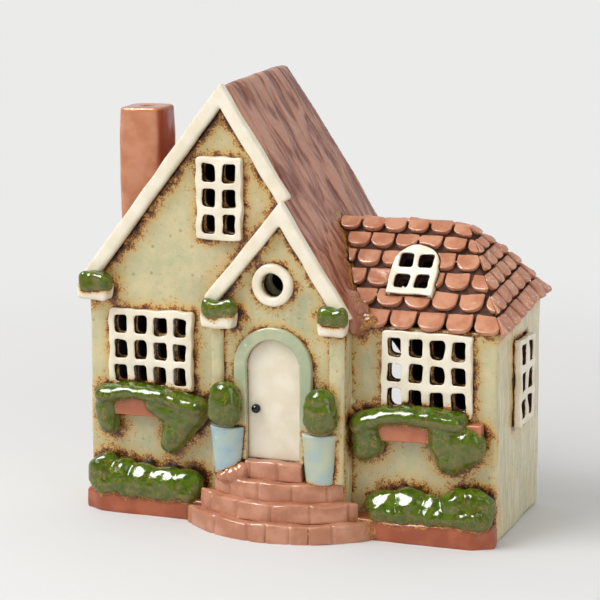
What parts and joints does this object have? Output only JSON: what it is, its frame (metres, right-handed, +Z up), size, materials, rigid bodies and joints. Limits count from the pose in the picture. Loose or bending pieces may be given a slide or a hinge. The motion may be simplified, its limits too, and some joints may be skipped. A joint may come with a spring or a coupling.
{
  "type": "tealight house",
  "caption": "Glazed ceramic cottage that stands over a tealight, with pierced windows, a porch, a shingled wing, a chimney and an arched opening at the back.",
  "frame": {"origin": "under the middle of the floor slab, on the surface that the house stands on", "axes": "+X to the wing, +Y to the back, +Z up"},
  "size_m": [0.182, 0.0983, 0.1809],
  "materials": {
    "wall_glaze": "glossy sage cream glaze",
    "cream_glaze": "glossy cream glaze",
    "celadon_glaze": "glossy celadon glaze",
    "black_glaze": "glossy black glaze",
    "roof_glaze": "glossy red brown glaze",
    "terracotta_glaze": "satin terracotta glaze",
    "brick_glaze": "satin brick glaze",
    "leaf_glaze": "glossy green glaze",
    "pale_blue_glaze": "glossy pale blue glaze",
    "bare_clay": "unglazed",
    "tealight_metal": "plain",
    "wax": "smooth paraffin wax",
    "cotton": "waxed cotton"
  },
  "bodies": {
    "house": {"attic_window": "cream_glaze", "back_shingles": "terracotta_glaze", "back_wall": "wall_glaze", "bargeboard_main_left": "cream_glaze", "bargeboard_main_right": "cream_glaze", "bargeboard_porch_left": "cream_glaze", "bargeboard_porch_right": "cream_glaze", "base_slab": "bare_clay", "bush_left": "leaf_glaze", "bush_right": "leaf_glaze", "chimney": "terracotta_glaze", "door": "cream_glaze", "door_knob": "black_glaze", "door_surround": "celadon_glaze", "end_shingles": "terracotta_glaze", "end_window": "cream_glaze", "front_shingles": "terracotta_glaze", "front_wall": "wall_glaze", "hedge_left": "leaf_glaze", "hedge_wing": "leaf_glaze", "ivy_left": "leaf_glaze", "ivy_wing": "leaf_glaze", "kneeler_main": "cream_glaze", "kneeler_porch_left": "cream_glaze", "kneeler_porch_right": "cream_glaze", "left_wall": "wall_glaze", "left_window": "cream_glaze", "main_roof_left": "roof_glaze", "main_roof_right": "roof_glaze", "moss_main": "leaf_glaze", "moss_porch_left": "leaf_glaze", "moss_porch_right": "leaf_glaze", "pilaster_left": "wall_glaze", "pilaster_right": "wall_glaze", "plinth_left": "brick_glaze", "plinth_wing": "brick_glaze", "porch_cheek_left": "wall_glaze", "porch_cheek_right": "wall_glaze", "porch_roof_left": "roof_glaze", "porch_wall": "wall_glaze", "pot_left": "pale_blue_glaze", "pot_right": "pale_blue_glaze", "roof_window": "cream_glaze", "round_window": "cream_glaze", "step_1": "brick_glaze", "step_2": "brick_glaze", "step_3": "brick_glaze", "step_4": "brick_glaze", "window_box_left": "brick_glaze", "window_box_wing": "brick_glaze", "wing_end_wall": "wall_glaze", "wing_front_wall": "wall_glaze", "wing_roof_back": "terracotta_glaze", "wing_roof_end": "terracotta_glaze", "wing_roof_front": "terracotta_glaze", "wing_window": "cream_glaze"},
    "tealight": {"tealight_cup": "tealight_metal", "tealight_wax": "wax", "tealight_wick": "cotton", "wick_tab": "tealight_metal"}
  },
  "joints": [
    {"name": "tealight_slide", "type": "slide", "parent": "house", "child": "tealight", "axis": [0, 1, 0], "range_m": [0, 0.06]}
  ]
}
